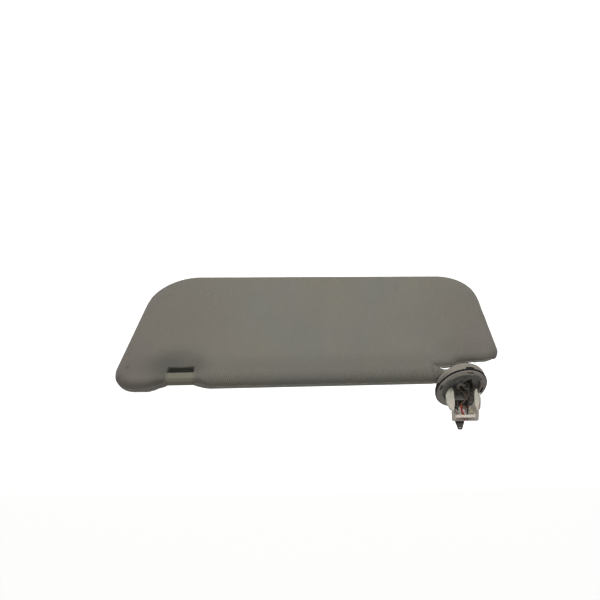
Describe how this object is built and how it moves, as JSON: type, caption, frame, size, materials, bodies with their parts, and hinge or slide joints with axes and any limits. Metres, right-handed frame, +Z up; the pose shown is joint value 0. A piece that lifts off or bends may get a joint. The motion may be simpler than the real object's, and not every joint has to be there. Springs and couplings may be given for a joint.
{
  "type": "car sun visor",
  "caption": "Cloth-covered car sun visor with a lit, covered vanity mirror, a swivelling rod and a round roof mount with a snap clip.",
  "frame": {"origin": "centre of the mount's roof face, where it lies on the headliner", "axes": "+Z up to the roof, +X along the rod from the mount to the support pin, -Y towards the windscreen"},
  "size_m": [0.4318, 0.059, 0.2312],
  "materials": {
    "mount_plastic": "fine grain, matte",
    "base_plastic": "matte",
    "black_rubber": "matte",
    "natural_nylon": "satin",
    "spring_steel": "satin",
    "white_nylon": "satin",
    "dark_plastic": "satin",
    "copper": "dull",
    "red_insulation": "satin",
    "black_insulation": "satin",
    "brown_insulation": "satin",
    "rod_steel": "plated, satin",
    "core_plastic": "moulded",
    "knit_cloth": "fine knit",
    "pin_plastic": "satin",
    "mirror_glass": "polished",
    "clear_lens": "frosted inside",
    "bulb_glass": "clear"
  },
  "bodies": {
    "mount": {"bezel_dome": "mount_plastic", "rim_gasket": "black_rubber", "base_carrier": "base_plastic", "thrust_washer": "natural_nylon", "spring_washer": "spring_steel", "snap_clip": "white_nylon", "connector_housing": "dark_plastic", "connector_terminals": "copper", "locking_tongue": "natural_nylon", "bracket_tab": "dark_plastic", "supply_wire_red": "red_insulation", "supply_wire_black": "black_insulation", "wire_loop_black": "black_insulation", "wire_loop_brown": "brown_insulation"},
    "arm": {"arm_elbow": "mount_plastic", "retaining_ring": "spring_steel", "arm_tube": "rod_steel", "arm_lead": "black_insulation"},
    "panel": {"core_front": "core_plastic", "core_rear": "core_plastic", "cloth_front": "knit_cloth", "cloth_rear": "knit_cloth", "support_pin": "pin_plastic", "rod_bushing_outer": "natural_nylon", "rod_bushing_inner": "natural_nylon", "detent_spring": "spring_steel", "mirror_frame": "mount_plastic", "mirror_glass": "mirror_glass", "lamp_lens_inboard": "clear_lens", "lamp_lens_outboard": "clear_lens", "lamp_bulb_inboard": "bulb_glass", "lamp_bulb_outboard": "bulb_glass", "cover_pin_inboard": "rod_steel", "cover_pin_outboard": "rod_steel", "lamp_contacts": "copper", "lamp_lead_inboard": "black_insulation", "lamp_lead_outboard": "black_insulation", "cover_spring": "spring_steel"},
    "cover": {"mirror_cover": "mount_plastic"}
  },
  "joints": [
    {"name": "arm_swivel", "type": "hinge", "parent": "mount", "child": "arm", "pos_m": [0, 0, 0], "axis": [-0.2588, 0, 0.9659], "range_deg": [0, 100]},
    {"name": "visor_tilt", "type": "hinge", "parent": "arm", "child": "panel", "pos_m": [0.1, 0, -0.02202], "axis": [1, 0, 0], "range_deg": [-60, 90]},
    {"name": "cover_hinge", "type": "hinge", "parent": "panel", "child": "cover", "pos_m": [0.172, 0.012, -0.06423], "axis": [1, 0, 0], "range_deg": [0, 110]}
  ]
}
